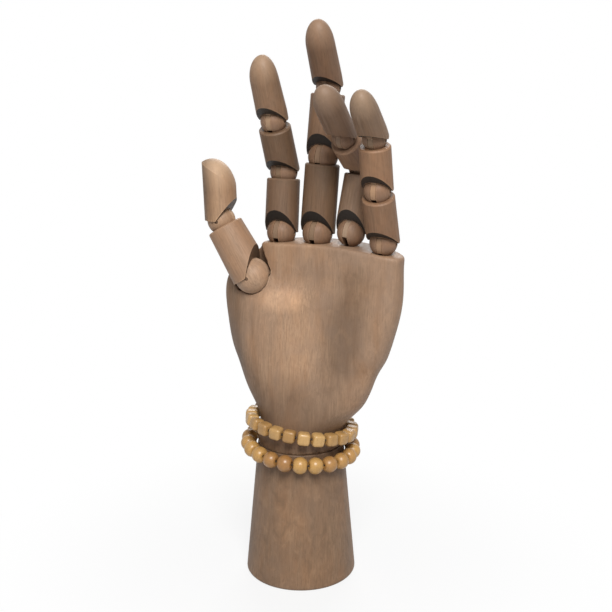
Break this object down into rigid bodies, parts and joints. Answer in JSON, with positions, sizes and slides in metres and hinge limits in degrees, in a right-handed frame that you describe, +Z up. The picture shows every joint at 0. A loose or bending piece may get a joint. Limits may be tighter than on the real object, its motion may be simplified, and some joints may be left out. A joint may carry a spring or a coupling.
{
  "type": "wooden hand mannequin",
  "caption": "Jointed wooden left hand on a turned forearm foot, with slotted ball joints in its fingers and bead bracelets round the wrist.",
  "frame": {"origin": "middle of the flat foot of the forearm, which stands on the table", "axes": "+Z up along the forearm, -Y out of the palm, +X to the little finger's side"},
  "size_m": [0.108, 0.0795, 0.3001],
  "materials": {
    "hand_wood": "matt grey-brown stain",
    "ball_wood": "matt grey-brown stain",
    "dowel_wood": "plain turned",
    "cube_beads": "oiled",
    "round_beads": "oiled",
    "steel": "plain wire",
    "elastic": "thin cord"
  },
  "bodies": {
    "base": {"forearm_base": "hand_wood", "wrist_spring": "steel"},
    "index_knuckle": {"index_knuckle_ball": "ball_wood", "index_knuckle_pin": "steel"},
    "index_lower": {"index_lower_segment": "hand_wood", "index_mid_ball": "ball_wood", "index_mid_pin": "steel"},
    "index_mid": {"index_mid_segment": "hand_wood", "index_tip_ball": "ball_wood", "index_tip_pin": "steel"},
    "index_tip": {"index_tip_segment": "hand_wood"},
    "middle_knuckle": {"middle_knuckle_ball": "ball_wood", "middle_knuckle_pin": "steel"},
    "middle_lower": {"middle_lower_segment": "hand_wood", "middle_mid_ball": "ball_wood", "middle_mid_pin": "steel"},
    "middle_mid": {"middle_mid_segment": "hand_wood", "middle_tip_ball": "ball_wood", "middle_tip_pin": "steel"},
    "middle_tip": {"middle_tip_segment": "hand_wood"},
    "ring_knuckle": {"ring_knuckle_ball": "ball_wood", "ring_knuckle_pin": "steel"},
    "ring_lower": {"ring_lower_segment": "hand_wood", "ring_mid_ball": "ball_wood", "ring_mid_pin": "steel"},
    "ring_mid": {"ring_mid_segment": "hand_wood", "ring_tip_ball": "ball_wood", "ring_tip_pin": "steel"},
    "ring_tip": {"ring_tip_segment": "hand_wood"},
    "little_knuckle": {"little_knuckle_ball": "ball_wood", "little_knuckle_pin": "steel"},
    "little_lower": {"little_lower_segment": "hand_wood", "little_mid_ball": "ball_wood", "little_mid_pin": "steel"},
    "little_mid": {"little_mid_segment": "hand_wood", "little_tip_ball": "ball_wood", "little_tip_pin": "steel"},
    "little_tip": {"little_tip_segment": "hand_wood"},
    "palm": {"palm": "hand_wood", "wrist_dowel": "dowel_wood", "index_knuckle_spring": "steel", "middle_knuckle_spring": "steel", "ring_knuckle_spring": "steel", "little_knuckle_spring": "steel", "thumb_root_spring": "steel"},
    "thumb_root": {"thumb_root_ball": "ball_wood", "thumb_root_pin": "steel"},
    "thumb_lower": {"thumb_lower_segment": "hand_wood", "thumb_tip_ball": "ball_wood", "thumb_tip_pin": "steel"},
    "thumb_tip": {"thumb_tip_segment": "hand_wood"},
    "cube_bracelet": {"cube_beads": "cube_beads", "cube_bead_elastic": "elastic"},
    "round_bracelet": {"round_beads": "round_beads", "round_bead_elastic": "elastic"}
  },
  "joints": [
    {"name": "wrist_turn", "type": "hinge", "parent": "base", "child": "palm", "pos_m": [0, 0, 0.076], "axis": [0, 0, 1], "range_deg": [-25, 25]},
    {"name": "index_turn", "type": "hinge", "parent": "palm", "child": "index_knuckle", "pos_m": [-0.0105, -0.0015, 0.1918], "axis": [0, 0, -1], "range_deg": [-8, 12]},
    {"name": "index_knuckle_bend", "type": "hinge", "parent": "index_knuckle", "child": "index_lower", "pos_m": [-0.0105, -0.0015, 0.1918], "axis": [1, 0, 0], "range_deg": [-12, 68]},
    {"name": "index_mid_bend", "type": "hinge", "parent": "index_lower", "child": "index_mid", "pos_m": [-0.0105, 0.00182, 0.22343], "axis": [1, 0, 0], "range_deg": [-39.8, 36.2]},
    {"name": "index_tip_bend", "type": "hinge", "parent": "index_mid", "child": "index_tip", "pos_m": [-0.0105, -0.01, 0.25023], "axis": [1, 0, 0], "range_deg": [-7.6, 60.4]},
    {"name": "middle_turn", "type": "hinge", "parent": "palm", "child": "middle_knuckle", "pos_m": [0.00935, 0.001, 0.19238], "axis": [-0.0523, 0, -0.9986], "range_deg": [-8, 12]},
    {"name": "middle_knuckle_bend", "type": "hinge", "parent": "middle_knuckle", "child": "middle_lower", "pos_m": [0.00935, 0.001, 0.19238], "axis": [0.9986, 0, -0.0523], "range_deg": [-15, 65]},
    {"name": "middle_mid_bend", "type": "hinge", "parent": "middle_lower", "child": "middle_mid", "pos_m": [0.01142, 0.00307, 0.23187], "axis": [0.9986, 0, -0.0523], "range_deg": [-9.1, 66.9]},
    {"name": "middle_tip_bend", "type": "hinge", "parent": "middle_mid", "child": "middle_tip", "pos_m": [0.01327, 0.00548, 0.26714], "axis": [0.9986, 0, -0.0523], "range_deg": [-42.8, 25.2]},
    {"name": "ring_turn", "type": "hinge", "parent": "palm", "child": "ring_knuckle", "pos_m": [0.02795, 0.002, 0.19374], "axis": [-0.0698, 0, -0.9976], "range_deg": [-6, 6]},
    {"name": "ring_knuckle_bend", "type": "hinge", "parent": "ring_knuckle", "child": "ring_lower", "pos_m": [0.02795, 0.002, 0.19374], "axis": [0.9923, -0.1028, -0.0694], "range_deg": [-6.9, 73.1]},
    {"name": "ring_mid_bend", "type": "hinge", "parent": "ring_lower", "child": "ring_mid", "pos_m": [0.0309, 0.00842, 0.22649], "axis": [0.9923, -0.1028, -0.0694], "range_deg": [-73.4, 2.6]},
    {"name": "ring_tip_bend", "type": "hinge", "parent": "ring_mid", "child": "ring_tip", "pos_m": [0.02983, -0.01362, 0.24373], "axis": [0.9923, -0.1028, -0.0694], "range_deg": [-3.6, 64.4]},
    {"name": "little_turn", "type": "hinge", "parent": "palm", "child": "little_knuckle", "pos_m": [0.04815, -0.004, 0.19107], "axis": [0.0349, 0, 0.9994], "range_deg": [0, 12]},
    {"name": "little_knuckle_bend", "type": "hinge", "parent": "little_knuckle", "child": "little_lower", "pos_m": [0.04815, -0.004, 0.19107], "axis": [0.9994, 0, -0.0349], "range_deg": [-41.7, 38.3]},
    {"name": "little_mid_bend", "type": "hinge", "parent": "little_lower", "child": "little_mid", "pos_m": [0.04912, -0.01618, 0.21879], "axis": [0.9994, 0, -0.0349], "range_deg": [-2.6, 73.4]},
    {"name": "little_tip_bend", "type": "hinge", "parent": "little_mid", "child": "little_tip", "pos_m": [0.05001, -0.02362, 0.24421], "axis": [0.9994, 0, -0.0349], "range_deg": [-37.2, 30.8]},
    {"name": "thumb_turn", "type": "hinge", "parent": "palm", "child": "thumb_root", "pos_m": [-0.0223, -0.0125, 0.1693], "axis": [-0.5041, -0.0708, 0.8607], "range_deg": [-45, 20]},
    {"name": "thumb_root_bend", "type": "hinge", "parent": "thumb_root", "child": "thumb_lower", "pos_m": [-0.0223, -0.0125, 0.1693], "axis": [0.1392, -0.9903, 0], "range_deg": [-5, 20]},
    {"name": "thumb_tip_bend", "type": "hinge", "parent": "thumb_lower", "child": "thumb_tip", "pos_m": [-0.03919, -0.01487, 0.19814], "axis": [-0.1392, 0.9903, 0], "range_deg": [-38.5, 31.5]},
    {"name": "cube_bracelet_turn", "type": "hinge", "parent": "palm", "child": "cube_bracelet", "pos_m": [0.0006, 0, 0.0862], "axis": [0.1045, 0.104, 0.9891], "continuous": true},
    {"name": "round_bracelet_turn", "type": "hinge", "parent": "base", "child": "round_bracelet", "pos_m": [0, 0, 0.0737], "axis": [0.0872, 0, 0.9962], "continuous": true}
  ]
}
